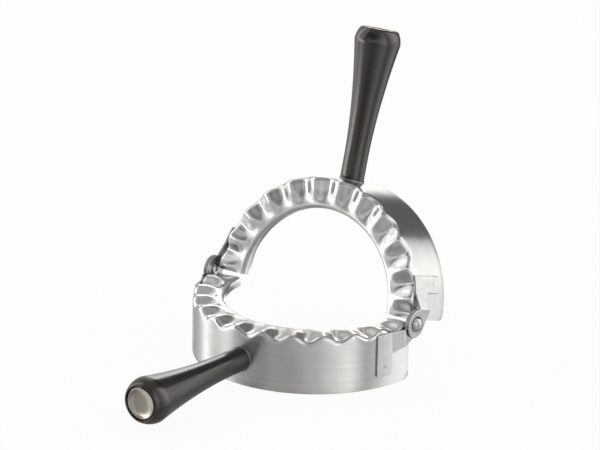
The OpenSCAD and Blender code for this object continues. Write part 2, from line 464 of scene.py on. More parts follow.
class Effects:
    """The effects that several finishes share, each one a node group that is built once."""

    WIDE_GRAIN: Triple = (0.35, 0.12, 0.12)
    PATCH_FEATHER: float = 0.22

    def __init__(self) -> None:
        """Builds the groups."""
        self.ring_place = self._ring_place()
        self.grain = self._directional_grain()
        self.wear = self._handling_wear()

    @staticmethod
    def _start(
        name: str, inputs: dict[str, tuple[str, object]], outputs: dict[str, str]
    ) -> tuple[Graph, Node, Node]:
        """Starts a group.

        Args:
            name: The group's name.
            inputs: The kind and the plain value of each input.
            outputs: The kind of each output.

        Returns:
            The graph, the node of its inputs and the node of its outputs.
        """
        tree = bpy.data.node_groups.new(name, "ShaderNodeTree")
        for key, (kind, plain) in inputs.items():
            socket = tree.interface.new_socket(key, in_out="INPUT", socket_type=f"NodeSocket{kind}")
            if plain is not None:
                socket.default_value = plain
        for key, kind in outputs.items():
            tree.interface.new_socket(key, in_out="OUTPUT", socket_type=f"NodeSocket{kind}")
        graph = Graph(tree)
        return graph, graph.node("NodeGroupInput"), graph.node("NodeGroupOutput")

    def _ring_place(self) -> Tree:
        """Builds the group that unrolls a place on the ring.

        Returns:
            A group that gives, in millimetres, the way round, the height and the radius.
        """
        graph, given, result = self._start(
            "Ring place", {"Place": ("Vector", None)}, {"Unrolled": "Vector"}
        )
        place = graph.vector("MULTIPLY", given.outputs["Place"], (1 / MM,) * 3)
        x, y, z = graph.split(place)
        radius = graph.vector("LENGTH", graph.gather(x, y, 0.0))
        way = graph.math("MULTIPLY", graph.math("ARCTAN2", y, x), RING_R)
        graph.feed_named(result, Unrolled=graph.gather(way, z, radius))
        return graph.tree

    def _directional_grain(self) -> Tree:
        """Builds the group for fine lines that run one way, as rolling or brushing leaves them.

        Returns:
            A group that takes a place in millimetres, with the lines along its first number.
        """
        graph, given, result = self._start(
            "Directional grain",
            {"Place": ("Vector", None), "Lines per mm": ("Float", 6.0), "Stretch": ("Float", 40.0)},
            {"Height": "Float", "Tone": "Float"},
        )
        fine = given.outputs["Lines per mm"]
        along = graph.math("DIVIDE", fine, given.outputs["Stretch"])
        thin = graph.vector("MULTIPLY", given.outputs["Place"], graph.gather(along, fine, fine))
        wide = graph.vector("MULTIPLY", thin, self.WIDE_GRAIN)
        graph.feed_named(
            result,
            Height=graph.noise(thin, scale=1.0, detail=3.0, roughness=0.6),
            Tone=graph.noise(wide, scale=1.0, detail=4.0, roughness=0.55),
        )
        return graph.tree

    def _handling_wear(self) -> Tree:
        """Builds the group for the soft, uneven patches that hands and cloths leave.

        Returns:
            A group that takes a place in millimetres and gives a mask of the patches.
        """
        graph, given, result = self._start(
            "Handling wear",
            {"Place": ("Vector", None), "Patch size": ("Float", 12.0), "Cover": ("Float", 0.5)},
            {"Mask": "Float"},
        )
        scale = graph.math("DIVIDE", 1.0, given.outputs["Patch size"])
        patches = graph.noise(given.outputs["Place"], scale, detail=5.0, roughness=0.62)
        edge = graph.math("SUBTRACT", 1.0, given.outputs["Cover"])
        low = graph.math("SUBTRACT", edge, self.PATCH_FEATHER)
        high = graph.math("ADD", edge, self.PATCH_FEATHER)
        graph.feed_named(result, Mask=graph.ease(patches, low, high))
        return graph.tree


# ---------------------------------------------------------------- finishes


def emptied(owner: Material | bpy.types.World) -> Graph:
    """Empties the node tree of a material or a world.

    Args:
        owner: The material or the world.

    Returns:
        The graph of the empty tree.
    """
    owner.use_nodes = True
    owner.node_tree.nodes.clear()
    return Graph(owner.node_tree)


def new_material(name: str) -> tuple[Material, Graph, Node]:
    """Makes an empty material with a Principled BSDF.

    Args:
        name: The material's name.

    Returns:
        The material, its graph and the BSDF.
    """
    material = bpy.data.materials.new(name)
    graph = emptied(material)
    surface = graph.node("BsdfPrincipled")
    graph.feed_named(graph.node("OutputMaterial"), Surface=surface.outputs["BSDF"])
    return material, graph, surface


def grey(level: float, warmth: float = 0.0) -> Colour:
    """Gives a grey that leans warm by a small share."""
    return (level * (1 + warmth), level, level * (1 - warmth), 1.0)


def uneven(
    graph: Graph, lines: Socket, wear: Socket, level: float, spread: float, worn: float
) -> Socket:
    """Varies a metal's level with its fine lines and its wear.

    Args:
        graph: The material's graph.
        lines: The tone of the fine lines, from 0 to 1.
        wear: The mask of the wear.
        level: The level in the middle of the lines' range.
        spread: How wide that range is.
        worn: What full wear takes off.

    Returns:
        The varied level.
    """
    tone = graph.math("MULTIPLY_ADD", lines, spread, level - spread / 2)
    return graph.math("MULTIPLY_ADD", wear, -worn, tone)


@dataclass(frozen=True)
class PressedSteel:
    """Polished sheet that was rolled, cut and pressed, with a fine grain round the ring."""

    name: str = "Pressed stainless sheet"
    level: float = 0.63
    tint: Triple = (1.005, 1.0, 0.985)
    tone_spread: float = 0.12
    worn: float = 0.03
    roughness: float = 0.2
    worn_roughness: float = 0.07
    grain_roughness: float = 0.06
    highlight_spread: float = 0.88
    grain_strength: float = 0.14
    grain_depth: float = 0.0012

    def build(self, effects: Effects) -> Material:
        """Builds the material.

        Args:
            effects: The shared node groups.

        Returns:
            The material, for a ring drawn in the half's own place.
        """
        material, graph, surface = new_material(self.name)
        place = graph.node("TexCoord").outputs["Object"]
        unrolled = graph.group(effects.ring_place, Place=place)["Unrolled"]
        grain = graph.group(effects.grain, Place=unrolled, Lines_per_mm=5.0, Stretch=60.0)
        wear = graph.group(effects.wear, Place=unrolled, Patch_size=17.0, Cover=0.46)["Mask"]
        tone = uneven(graph, grain["Tone"], wear, self.level, self.tone_spread, self.worn)
        base = self.roughness - self.grain_roughness / 2
        rough = graph.math("MULTIPLY_ADD", wear, self.worn_roughness, base)
        graph.feed_named(
            surface,
            Base_Color=graph.scaled(tone, self.tint),
            Roughness=graph.math("MULTIPLY_ADD", grain["Tone"], self.grain_roughness, rough),
            Metallic=1.0,
            Anisotropic=self.highlight_spread,
            Normal=graph.bump(grain["Height"], self.grain_strength, self.grain_depth),
            Tangent=self._across_grain(graph, place),
        )
        return material

    @staticmethod
    def _across_grain(graph: Graph, place: Socket) -> Socket:
        """Gives the way across the grain, which runs round the ring.

        Args:
            graph: The material's graph.
            place: The place in the half's own frame.

        Returns:
            The way that the highlight spreads in.
        """
        x, y, _ = graph.split(place)
        round_way = graph.gather(graph.math("MULTIPLY", y, -1.0), x, 0.0)
        turn = graph.node(
            "VectorTransform", vector_type="VECTOR", convert_from="OBJECT", convert_to="WORLD"
        )
        graph.feed(turn.inputs[0], round_way)
        normal = graph.node("NewGeometry").outputs["Normal"]
        return graph.vector("NORMALIZE", graph.vector("CROSS_PRODUCT", normal, turn.outputs[0]))


@dataclass(frozen=True)
class StrapSteel:
    """Mill-finish strip for the hinge brackets, with darker sheared edges and darker ears.

    The sheared edges are partly their own duller tone and partly painted shade of the gap along
    the strap's edges.
    """

    name: str = "Bracket strip"
    level: float = 0.66
    edge_and_gap_shade_level: float = 0.26
    tint: Triple = (1.0, 1.0, 0.985)
    tone_spread: float = 0.18
    worn: float = 0.05
    heated: float = 0.12
    ear_darkening: float = 0.21
    flat_facing: Pair = (0.35, 0.62)
    ear_facing: Pair = (0.977, 0.992)
    weld_centre: Triple = (58.1, -18.85, 11.0)
    weld_reach: Pair = (0.5, 1.5)
    roughness: float = 0.33
    worn_roughness: float = 0.09
    edge_roughness: float = 0.1
    grain_strength: float = 0.4
    grain_depth: float = 0.002

    def build(self, effects: Effects) -> Material:
        """Builds the material.

        Args:
            effects: The shared node groups.

        Returns:
            The material.
        """
        material, graph, surface = new_material(self.name)
        place = graph.place_mm()
        x, y, z = graph.split(place)
        turned_place = graph.gather(z, y, x)
        lines = graph.group(effects.grain, Place=turned_place, Lines_per_mm=7.0, Stretch=25.0)
        wear = graph.group(effects.wear, Place=place, Patch_size=4.5, Cover=0.5)["Mask"]
        either_hand = graph.gather(graph.math("ABSOLUTE", x), y, z)
        from_weld = graph.vector("LENGTH", graph.vector("SUBTRACT", either_hand, self.weld_centre))
        heat = graph.ease(from_weld, *self.weld_reach, first=1.0, last=0.0)
        across, _, _ = graph.split(graph.node("TexCoord").outputs["Normal"])
        facing = graph.math("ABSOLUTE", across)
        flat = graph.ease(facing, *self.flat_facing)
        ear = graph.ease(facing, *self.ear_facing)
        level = uneven(graph, lines["Tone"], wear, self.level, self.tone_spread, self.worn)
        # Round the weld the strip darkens, and the ears' flats, the faces that look straight along
        # the hinge, are made darker too.
        for mask, taken in ((heat, self.heated), (ear, self.ear_darkening)):
            level = graph.math("MULTIPLY_ADD", mask, -taken, level)
        # Every face but the sheet's flats, that is the sheared edges, drops to a darker level:
        # partly the cut edges' own duller tone, partly painted shade of the gap along the strap's
        # edges.
        over_edge_shade = graph.math("SUBTRACT", level, self.edge_and_gap_shade_level)
        tone = graph.math("MULTIPLY_ADD", flat, over_edge_shade, self.edge_and_gap_shade_level)
        base = self.roughness + self.edge_roughness
        rough = graph.math("MULTIPLY_ADD", wear, self.worn_roughness, base)
        graph.feed_named(
            surface,
            Base_Color=graph.scaled(tone, self.tint),
            Roughness=graph.math("MULTIPLY_ADD", flat, -self.edge_roughness, rough),
            Metallic=1.0,
            Normal=graph.bump(lines["Height"], self.grain_strength, self.grain_depth),
        )
        return material


@dataclass(frozen=True)
class SmallSteel:
    """Metal of the rivets, fasteners and end caps, with fine lines and soft wear.

    lathe holds a point of the axis that the lines were turned about, in millimetres, and its way.
    """

    name: str
    level: float
    roughness: float
    warmth: float = 0.0
    lathe: tuple[Vector, Vector] | None = None
    wear_share: float = 1.0
    tone_spread: float = 0.12
    worn: float = 0.06
    worn_roughness: float = 0.1
    grain_strength: float = 0.4
    grain_depth: float = 0.003

    def build(self, effects: Effects) -> Material:
        """Builds the material.

        Args:
            effects: The shared node groups.

        Returns:
            The material.
        """
        material, graph, surface = new_material(self.name)
        place = graph.place_mm()
        wear = graph.group(effects.wear, Place=place, Patch_size=2.2, Cover=0.5)["Mask"]
        lines_place = self._turned_place(graph, place) if self.lathe else place
        lines = graph.group(effects.grain, Place=lines_place, Lines_per_mm=6.0, Stretch=12.0)
        share = self.wear_share
        spread, worn = self.tone_spread * share, self.worn * share
        tone = uneven(graph, lines["Tone"], wear, self.level, spread, worn)
        rough = graph.math("MULTIPLY_ADD", wear, self.worn_roughness * share, self.roughness)
        graph.feed_named(
            surface,
            Base_Color=graph.scaled(tone, (1 + self.warmth, 1.0, 1 - self.warmth)),
            Roughness=rough,
            Metallic=1.0,
            Normal=graph.bump(lines["Height"], self.grain_strength * share, self.grain_depth),
        )
        return material

    def _turned_place(self, graph: Graph, place: Socket) -> Socket:
        """Gives the place as the radius and the way along the lathe's axis.

        Args:
            graph: The material's graph.
            place: The place, in millimetres.

        Returns:
            Nothing along the lines, then the radius and the way along.
        """
        point, way = (tuple(part) for part in self.lathe)
        away = graph.vector("SUBTRACT", place, point)
        along = graph.vector("DOT_PRODUCT", away, way)
        radius = graph.vector("LENGTH", graph.vector("SUBTRACT", away, graph.scaled(along, way)))
        return graph.gather(0.0, radius, along)


@dataclass(frozen=True)
class BlackGrip:
    """Satin black phenolic of the handles, with the faint unevenness of a moulded surface."""

    name: str = "Satin black moulding"
    level: float = 0.0022
    worn_gain: float = 1.5
    warmth: float = 0.16
    roughness: float = 0.19
    worn_roughness: float = 0.06
    ior: float = 1.72
    tint: Colour = (1.0, 0.95, 0.89, 1.0)
    peel_strength: float = 0.25
    peel_depth: float = 0.02

    def build(self, effects: Effects) -> Material:
        """Builds the material.

        Args:
            effects: The shared node groups.

        Returns:
            The material.
        """
        material, graph, surface = new_material(self.name)
        place = graph.place_mm()
        wear = graph.group(effects.wear, Place=place, Patch_size=9.0, Cover=0.48)["Mask"]
        fresh, worn = (grey(self.level * gain, self.warmth) for gain in (1.0, self.worn_gain))
        peel = graph.noise(place, scale=1.6, detail=2.0, roughness=0.5)
        graph.feed_named(
            surface,
            Base_Color=graph.blend(wear, fresh, worn),
            IOR=self.ior,
            Specular_Tint=self.tint,
            Roughness=graph.math("MULTIPLY_ADD", wear, self.worn_roughness, self.roughness),
            Normal=graph.bump(peel, self.peel_strength, self.peel_depth),
        )
        return material


# ---------------------------------------------------------------- sub-assemblies


@dataclass(frozen=True)
class HalfRing:
    """One pressed half ring: cutting wall, shoulder, fluted crimp rim and turned-down inner lip."""

    radius: float = RING_R
    sheet: float = 0.9
    height: float = 28.6
    split_y: float = 1.0
    corner_r: float = 2.8
    shoulder_r: float = 2.2
    lip_r: float = 2.0
    lip_in: float = 44.0
    lip_drop: float = 4.5
    flutes: int = 12
    flute_h: float = 3.0
    fade_to: float = 54.8
    edge_r: float = 0.25
    end_chamfer: float = 0.12
    steps_per_flute: int = 26

    def section(self) -> tuple[np.ndarray, np.ndarray]:
        """Draws the sheet's section from the cutting edge over the rim to the inner lip.

        Returns:
            The outer and the inner face as rows of radius, height and flute share, in pairs.
        """
        edge, wall_top = self.edge_r, -self.shoulder_r
        wall_low, lip_low = edge - self.height, edge - self.lip_drop
        flat_r, lip_c = self.radius - self.shoulder_r, self.lip_in + self.lip_r
        faces = []
        for sign, take, low, close in ((1, 0.0, 270, 180), (-1, self.sheet, -90, 0)):
            wall_r, lip_face = self.radius - take, self.lip_in + take
            parts = [
                arc((wall_r - sign * edge, wall_low), edge, low, low + sign * 90, steps=4),
                line((wall_r, wall_low), (wall_r, wall_top), steps=8),
                arc((flat_r, wall_top), self.shoulder_r - take, 0, 90, steps=9),
                line((flat_r, -take), (lip_c, -take), steps=16),
                arc((lip_c, -self.lip_r), self.lip_r - take, 90, 180, steps=9),
                line((lip_face, -self.lip_r), (lip_face, lip_low), steps=2),
                arc((lip_face + sign * edge, lip_low), edge, close, close + sign * 90, steps=4),
            ]
            faces.append(np.vstack([part[:-1] for part in parts[:-1]] + parts[-1:]))
        return tuple(np.column_stack([face, self.flute_share(face)]) for face in faces)

    def up_wall(self, face: np.ndarray) -> np.ndarray:
        """Gives how far up the wall each point of a section is, as a share."""
        return np.clip((face[:, 1] + self.height) / (self.height - self.shoulder_r), 0, 1)

    def flute_share(self, face: np.ndarray) -> np.ndarray:
        """Gives the share of the flutes' height at each point of the section.

        Args:
            face: Rows of radius and height.

        Returns:
            None at the inner lip and at the cutting edge, and all of it near the shoulder.
        """
        rim = smoothstep(self.lip_in + self.lip_r, self.fade_to, face[:, 0])
        on_wall = face[:, 0] > self.radius - self.shoulder_r
        return np.where(on_wall, np.minimum(rim, self.up_wall(face)), rim)

    def stations(self) -> np.ndarray:
        """Gives the sections' places round the ring, close together at the split.

        Returns:
            Shares of the way round, from one end to the other.
        """
        first = math.asin(self.split_y / self.radius)
        whole = math.pi - 2 * first
        near = self.corner_r * (1 - np.cos(np.radians(np.linspace(0, 90, 9))[:-1]))
        near = np.sort(np.insert(near, 1, self.end_chamfer))
        fine = (np.arcsin((self.split_y + near) / self.radius) - first) / whole
        start = (math.asin((self.split_y + self.corner_r) / self.radius) - first) / whole
        middle = np.linspace(start, 1 - start, self.flutes * self.steps_per_flute + 1)
        return np.concatenate([fine, middle, 1 - fine[::-1]])

    def place(self, face: np.ndarray, share: float) -> np.ndarray:
        """Sets one face's section at a share of the way round.

        Args:
            face: Rows of radius, height and flute share.
            share: The share of the way round.

        Returns:
            Rows of X, Y and Z.
        """
        radius = face[:, 0]
        first = np.arcsin(self.split_y / radius)
        angle = first + (math.pi - 2 * first) * share
        wave = self.flute_h / 2 * np.sin(2 * self.flutes * (angle - math.pi / 2))
        from_split = np.minimum(self.corner_r, radius * np.sin(angle) - self.split_y)
        drop = np.maximum(0, self.corner_r**2 - (self.corner_r - from_split) ** 2)
        lift = self.corner_r - np.sqrt(drop)
        on_wall = radius > self.radius - self.shoulder_r
        lift = np.where(on_wall, lift * (1 - self.up_wall(face)), 0)
        height = self.height + (face[:, 1] + face[:, 2] * wave + lift)
        return np.column_stack([radius * np.cos(angle), -radius * np.sin(angle), height])

    def build(self, name: str) -> Piece:
        """Sweeps the section round the half circle.

        Args:
            name: The piece's name.

        Returns:
            The closed half ring, in the half's own place.
        """
        outer, inner = self.section()
        middle = (outer + inner) / 2
        take = 1 - self.end_chamfer / (self.sheet / 2)
        small = [
            np.column_stack([middle[:, :2] + (face - middle)[:, :2] * take, face[:, 2]])
            for face in (outer, inner)
        ]
        shares = self.stations()
        rows = []
        for index, share in enumerate(shares):
            at_end = index in (0, len(shares) - 1)
            near, far = small if at_end else (outer, inner)
            rows.append(np.vstack([self.place(near, share), self.place(far, share)[::-1]]))
        count = len(outer)
        faces = grid_faces(len(rows), 2 * count)
        for base in (0, (len(rows) - 1) * 2 * count):
            faces += [
                (base + step, base + step + 1, across - 1, across)
                for step, across in enumerate(range(base + 2 * count - 1, base + count, -1))
            ]
        return make_piece(name, np.vstack(rows), faces)


@dataclass(frozen=True)
class Handle:
    """One black handle: a root seated on the wall, a flared grip and a crown round the cap."""

    root_y: float = RING_R
    height: float = 13.5
    tilt_deg: float = 1.0
    seat_r: float = 60.6
    seat_round: float = 0.4
    seat_end: float = 3.0
    root_r: float = 6.15
    root_end: float = 12.0
    belly: float = 70.5
    belly_r: float = 11.75
    flare: float = 1.8
    length: float = 77.5
    crown_share: float = 0.94
    face_r: float = 9.45
    recess_r: float = 8.6
    recess_depth: float = 1.2
    pocket_r: float = 6.2
    pocket_s: float = 52.5
    bore_r: float = 2.3
    segments: int = 112

    def axis(self) -> Matrix:
        """Gives the handle's axis, which starts where it meets the ring's outside.

        Returns:
            A frame with X across, Y up and Z out along the handle.
        """
        tilt = math.radians(self.tilt_deg)
        out = Vector((0, -math.cos(tilt), math.sin(tilt)))
        up = Vector((0, math.sin(tilt), math.cos(tilt)))
        across = Vector((1, 0, 0))
        turn = Matrix((across, up, out)).transposed().to_4x4()
        return Matrix.Translation((0, -self.root_y, self.height)) @ turn

    def saddle(self, radius: np.ndarray, angle: np.ndarray) -> np.ndarray:
        """Gives how far along the axis the seat on the round wall lies.

        Args:
            radius: Distance from the axis.
            angle: Angle round the axis.

        Returns:
            The distance along the axis.
        """
        tilt = math.radians(self.tilt_deg)
        across = radius * np.cos(angle)
        reach = np.sqrt(self.seat_r**2 - across**2) - self.root_y
        return (reach + radius * np.sin(angle) * math.sin(tilt)) / math.cos(tilt)

    def profile(self) -> np.ndarray:
        """Draws the handle's side from the root to the crown and down into the cap's recess.

        Returns:
            Rows of radius and distance along the axis.
        """
        rise = self.belly_r - self.face_r
        reach = self.length - self.belly
        crown_r = (reach**2 + rise**2) / (2 * rise)
        turn = math.degrees(math.asin(reach / crown_r))
        along = np.linspace(self.root_end, self.belly, 44)
        share = (along - self.root_end) / (self.belly - self.root_end)
        radius = self.root_r + (self.belly_r - self.root_r) * share**self.flare
        grip = np.column_stack([radius, along])
        crown_c = (self.belly_r - crown_r, self.belly)
        crown = arc(crown_c, crown_r, 0, turn * self.crown_share, steps=12)
        top_r = (self.face_r + self.recess_r) / 2
        half = (self.face_r - self.recess_r) / 2
        brim = arc((top_r, self.length - half), half, 60, 180, steps=6)
        floor = self.length - self.recess_depth
        recess = line((self.recess_r, self.length - half), (self.recess_r, floor), steps=3)
        pocket = [(self.pocket_r, floor), (self.pocket_r, self.pocket_s)]
        inside = np.array([*pocket, (self.bore_r, self.pocket_s)])
        root = line((self.root_r, self.seat_end), (self.root_r, self.root_end), steps=5)
        return without_repeats(np.vstack([root, grip, crown, brim, recess, inside]))

    def build(self, name: str) -> Piece:
        """Turns the handle and seats its root on the round wall.

        Args:
            name: The piece's name.

        Returns:
            The closed handle, in the half's own place.
        """
        angle = np.linspace(0, 2 * math.pi, self.segments, endpoint=False)
        soft = self.seat_round
        rows: list[np.ndarray] = []

        def add(radius: float, along: np.ndarray) -> None:
            """Adds one ring of points."""
            rows.append(np.column_stack([radius * np.cos(angle), radius * np.sin(angle), along]))

        for radius in (self.bore_r, (self.bore_r + self.root_r) / 2):
            add(radius, self.saddle(radius, angle))
        for degrees in (0, 30, 60, 90):
            turn = math.radians(degrees)
            radius = self.root_r - soft * (1 - math.sin(turn))
            add(radius, self.saddle(radius, angle) + soft * (1 - math.cos(turn)))
        for radius, along in self.profile():
            add(radius, np.full(self.segments, along))
        rows.append(rows[0])
        points = moved(np.vstack(rows), self.axis())
        return make_piece(name, points, grid_faces(len(rows), self.segments))


@dataclass(frozen=True)
class EndCap:
    """The dished metal cap that closes a handle, with a bright raised lip and a skirt."""

    handle: Handle
    dish_r: float = 7.1
    dish: float = 0.8
    dish_round: float = 0.7
    brink: float = 0.35
    lip_h: float = 1.05
    lip_round: float = 0.2
    lip_step: float = 0.05
    lip_out_r: float = 7.6
    outer_r: float = 7.8
    plate: float = 0.7
    skirt_r: float = 6.2
    skirt_wall: float = 0.8
    skirt_h: float = 5.0
    chamfer: float = 0.15
    segments: int = 112

    def profile(self) -> np.ndarray:
        """Draws the cap's section from the middle of its face to the middle of its back.

        Returns:
            Rows of radius and height above the handle's recess.
        """
        radius = np.linspace(0, self.dish_r, 20)
        share = radius / self.dish_r
        rise = (1 - self.dish_round) * share**2 + self.dish_round * share**5
        face = np.column_stack([radius, self.lip_h - self.brink - self.dish * (1 - rise)])
        lip_z = self.lip_h - self.lip_round
        lip_c = self.dish_r + self.lip_step + self.lip_round
        lip_in = arc((lip_c, lip_z), self.lip_round, 180, 90, steps=4)
        lip_out = arc((self.lip_out_r, lip_z), self.lip_round, 90, 0, steps=5)
        inner = self.skirt_r - self.skirt_wall
        side = [(self.outer_r, 0.0), (self.skirt_r, 0.0)]
        side += [(self.skirt_r, self.chamfer - self.skirt_h)]
        back = [(self.skirt_r - self.chamfer, -self.skirt_h), (inner, -self.skirt_h)]
        back += [(inner, -self.plate), (0.0, -self.plate)]
        return without_repeats(np.vstack([face, lip_in, lip_out, side, back]))

    def build(self, name: str) -> Piece:
        """Turns the cap.

        Args:
            name: The piece's name.

        Returns:
            The closed cap, in the half's own place.
        """
        seat = self.handle.length - self.handle.recess_depth
        axis = self.handle.axis() @ Matrix.Translation((0, 0, seat))
        return turned(name, self.profile(), axis, self.segments)


@dataclass(frozen=True)
class HingeRivet:
    """A domed rivet through two ears, hollow at its tail, which is clinched over."""

    hand: Hand
    tail_x: float
    head_x: float
    pivot_z: float = PIVOT_Z
    shank_r: float = 2.0
    tail_r: float = 2.9
    tail_h: float = 0.7
    clinch_share: float = 0.6
    hollow_r: float = 1.2
    hollow_h: float = 2.0
    drill_point: float = 0.3
    head_r: float = 4.05
    head_h: float = 2.6
    edge_r: float = 0.2
    dome_from: float = 0.25
    dome_gap_deg: float = 1.5
    segments: int = 72

    def profile(self) -> np.ndarray:
        """Draws the rivet's section from the bottom of its hollow to the top of its dome.

        Returns:
            Rows of radius and distance out along the hinge.
        """
        dome_r = (self.head_r**2 + self.head_h**2) / (2 * self.head_h)
        centre = self.head_x + self.head_h - dome_r
        tail = self.tail_x - self.tail_h
        edge, clinch_r = self.edge_r, self.tail_h * self.clinch_share
        deep = tail + self.hollow_h
        hollow = np.array([(0.0, deep), (self.hollow_r, deep - self.drill_point)])
        mouth = arc((self.hollow_r + edge, tail + edge), edge, 180, 270, steps=4)
        clinch = arc((self.tail_r - clinch_r, tail + clinch_r), clinch_r, 270, 360, steps=7)
        shank = [(self.shank_r, self.tail_x), (self.shank_r, self.head_x)]
        under = np.array([(self.tail_r, self.tail_x), *shank])
        brim = arc((self.head_r - edge, self.head_x + edge), edge, 270, 340, steps=4)
        start = math.degrees(math.asin((self.head_x + self.dome_from - centre) / dome_r))
        dome = arc((0.0, centre), dome_r, start + self.dome_gap_deg, 90, steps=16)
        dome[-1, 0] = 0.0
        return without_repeats(np.vstack([hollow, mouth, clinch, under, brim, dome]))

    def build(self, name: str) -> Piece:
        """Turns the rivet about the hinge's axis.

        Args:
            name: The piece's name.

        Returns:
            The closed rivet, in the row frame.
        """
        out = Vector((self.hand.value, 0, 0))
        up = Vector((0, 0, 1))
        turn = Matrix((up.cross(out), up, out)).transposed().to_4x4()
        axis = Matrix.Translation((0, 0, self.pivot_z)) @ turn
        return turned(name, self.profile(), axis, self.segments)


@dataclass(frozen=True)
class HingeStrap:
    """A punched and bent strip: round ear, slanting arm and curved leg, welded to the wall.

    The flat strip is drawn by its way along, from the ear's far edge to the leg's end, and its
    height. A face counts as flat from flat_from on, the share of its normal across the sheet.
    """

    ear: EarPlace
    hand: Hand
    ring_r: float = RING_R
    sheet: float = 1.1
    pivot_z: float = PIVOT_Z
    ear_r: float = 7.0
    bend_y: float = -7.3
    arm_drop: float = 10.0
    root_drop: float = 12.0
    top_drop: float = 1.0
    leg_y: float = -14.3
    leg_w: float = 8.8
    leg_drop: float = 22.8
    foot_r: float = 1.1
    corner_r: float = 0.4
    bend_half: float = 0.9
    bend_cuts: tuple[float, ...] = (-1, -0.6, -0.2, 0.2, 0.6, 1)
    leg_cuts_from: float = 1.6
    leg_cuts_to: float = 0.6
    leg_cuts: int = 8
    edge_r: float = 0.34
    weld_drop: float = 18.0
    weld_r: float = 0.85
    weld_depth: float = 0.16
    weld_cuts: int = 7
    flat_from: float = 0.999
    cut_join: float = 1e-5

    @property
    def bend(self) -> np.ndarray:
        """X and Y of the bend between the ear and the arm."""
        return np.array((self.ear.value, self.bend_y))

    @property
    def foot(self) -> np.ndarray:
        """X and Y of the arm's end on the wall."""
        return np.array((math.sqrt(self.ring_r**2 - self.leg_y**2), self.leg_y))

    @property
    def ways(self) -> Triple:
        """The ways along the strip to the bend, to the leg and to the leg's end."""
        bend = self.ear_r - self.bend_y
        leg = bend + float(np.linalg.norm(self.foot - self.bend))
        return bend, leg, leg + self.leg_w

    def outline(self) -> np.ndarray:
        """Draws the flat strip's outline.

        Returns:
            Rows of the way along and the height.
        """
        bend, leg, end = self.ways
        back = 180 + math.degrees(math.asin(self.top_drop / self.ear_r))
        corner = math.hypot(self.bend_y, self.arm_drop)
        lean = math.atan2(-self.arm_drop, self.bend_y)
        touch = math.degrees(lean + math.acos(self.ear_r / corner))
        ear = arc((0.0, self.pivot_z), self.ear_r, back, touch, steps=52) * (-1, 1)
        ear += (self.ear_r, 0)
        low, top = self.pivot_z - self.leg_drop, self.pivot_z - self.top_drop
        arm = np.array([(bend, self.pivot_z - self.arm_drop), (leg, self.pivot_z - self.root_drop)])
        foot = arc((leg + self.foot_r, low + self.foot_r), self.foot_r, 180, 270, steps=6)
        round_r = self.corner_r
        toe = arc((end - round_r, low + round_r), round_r, 270, 360, steps=5)
        heel = arc((end - round_r, top - round_r), round_r, 0, 90, steps=5)
        return without_repeats(np.vstack([ear, arm, foot, toe, heel]))

    def bent(self, way: float, height: float, depth: float) -> Triple:
        """Bends a place of the flat strip round to the wall.

        Args:
            way: The way along the strip.
            height: The height.
            depth: The depth in the sheet, none on its inner face.

        Returns:
            X, Y and Z.
        """
        bend, leg, _ = self.ways
        arm = (self.foot - self.bend) / (leg - bend)
        normals = [np.array((1.0, 0.0)), np.array((-arm[1], arm[0]))]
        angle = math.asin(-self.leg_y / self.ring_r) + max(0.0, way - leg) / self.ring_r
        normals.append(np.array((math.cos(angle), -math.sin(angle))))
        if way <= leg:
            on_ear = np.array((self.ear.value, self.ear_r - min(way, bend)))
            place = on_ear + max(0.0, way - bend) * arm
        else:
            place = self.ring_r * normals[2]
        out = normals[0]
        for middle, normal in zip((bend, leg), normals[1:]):
            low, high = middle - self.bend_half, middle + self.bend_half
            share = float(smoothstep(low, high, np.array(way)))
            out = out * (1 - share) + normal * share
        x, y = place + depth * out / np.linalg.norm(out)
        return self.hand.value * x * MM, y * MM, height * MM

    def build(self, name: str) -> Piece:
        """Punches the strip out, rounds its edges and bends it.

        Args:
            name: The piece's name.

        Returns:
            The closed strap, in the half's own place.
        """
        _, leg, _ = self.ways
        work = bmesh.new()
        blank = work.faces.new([work.verts.new((way, height, 0)) for way, height in self.outline()])
        raised = bmesh.ops.extrude_face_region(work, geom=[blank])["geom"]
        lifted = [item for item in raised if isinstance(item, bmesh.types.BMVert)]
        bmesh.ops.translate(work, verts=lifted, vec=(0, 0, self.sheet))
        rims = [
            edge
            for edge in work.edges
            if abs(edge.verts[0].co.z - edge.verts[1].co.z) < SAME_PLACE
        ]
        bmesh.ops.bevel(
            work, geom=rims, offset=self.edge_r, segments=3, profile=0.5, affect="EDGES"
        )
        weld = Vector((leg + self.leg_w / 2, self.pivot_z - self.weld_drop, self.sheet))
        self._cut_across(work, weld)
        work.normal_update()
        for edge in work.edges:
            flat = {abs(face.normal.z) > self.flat_from for face in edge.link_faces}
            edge.smooth = len(flat) == 1
        for vert in work.verts:
            share = min(1.0, (vert.co - weld).length / self.weld_r)
            vert.co.z -= self.weld_depth * (1 + math.cos(math.pi * share)) / 2
            vert.co = self.bent(*vert.co)
        bmesh.ops.recalc_face_normals(work, faces=work.faces)
        mesh = bpy.data.meshes.new(name)
        work.to_mesh(mesh)
        work.free()
        mesh.shade_smooth()
        return placed(name, mesh)

    def _cut_across(self, work: bmesh.types.BMesh, weld: Vector) -> None:
        """Cuts the strip across where it bends, along its curved leg and round its weld.

        Args:
            work: The flat strip.
            weld: The middle of the weld's mark.
        """
        bend, leg, end = self.ways
        cuts = [at + self.bend_half * share for at in (bend, leg) for share in self.bend_cuts]
        first, last = leg + self.leg_cuts_from, end - self.leg_cuts_to
        cuts += np.linspace(first, last, self.leg_cuts).tolist()
        fine = self.weld_r * np.linspace(-1, 1, self.weld_cuts)
        planes = [((way, 0, 0), (1, 0, 0)) for way in [*cuts, *(weld.x + fine)]]
        planes += [((0, height, 0), (0, 1, 0)) for height in weld.y + fine]
        for place, way in planes:
            whole = [*work.verts, *work.edges, *work.faces]
            bmesh.ops.bisect_plane(
                work, geom=whole, plane_co=place, plane_no=way, dist=self.cut_join
            )


# ---------------------------------------------------------------- studio


